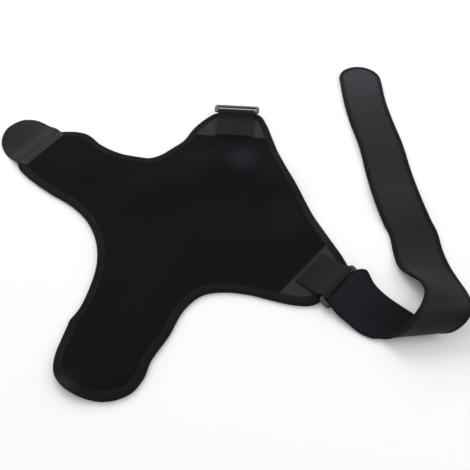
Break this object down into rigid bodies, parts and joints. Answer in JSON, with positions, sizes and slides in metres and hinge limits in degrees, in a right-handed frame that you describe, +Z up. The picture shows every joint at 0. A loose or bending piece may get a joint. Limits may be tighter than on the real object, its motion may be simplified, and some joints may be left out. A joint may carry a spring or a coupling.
{
  "type": "shoulder brace",
  "caption": "Shoulder brace lying open: cross-shaped neoprene panel with bound edge, hook tab on one arm, webbing loops with plastic rings, and a long elastic strap.",
  "frame": {"origin": "bottom centre of the brace's bounding box, on the surface it lies on", "axes": "+Z up, +X to the right and +Y away from the viewer of the picture; the strap's free length runs along +Y"},
  "size_m": [0.5634, 0.5254, 0.0327],
  "materials": {
    "neoprene": "matte knit",
    "tape": "matte woven",
    "hook_cloth": "satin",
    "patch_cloth": "matte",
    "webbing": "satin woven",
    "elastic": "matte knit",
    "ring_plastic": "satin"
  },
  "bodies": {
    "root": {"panel": "neoprene", "edge_binding": "tape", "hook_tab": "hook_cloth", "top_patch": "patch_cloth", "top_loop": "webbing", "top_ring": "ring_plastic", "side_patch": "patch_cloth", "side_loop": "webbing", "side_ring": "ring_plastic", "strap": "elastic", "strap_binding": "tape"}
  },
  "joints": []
}
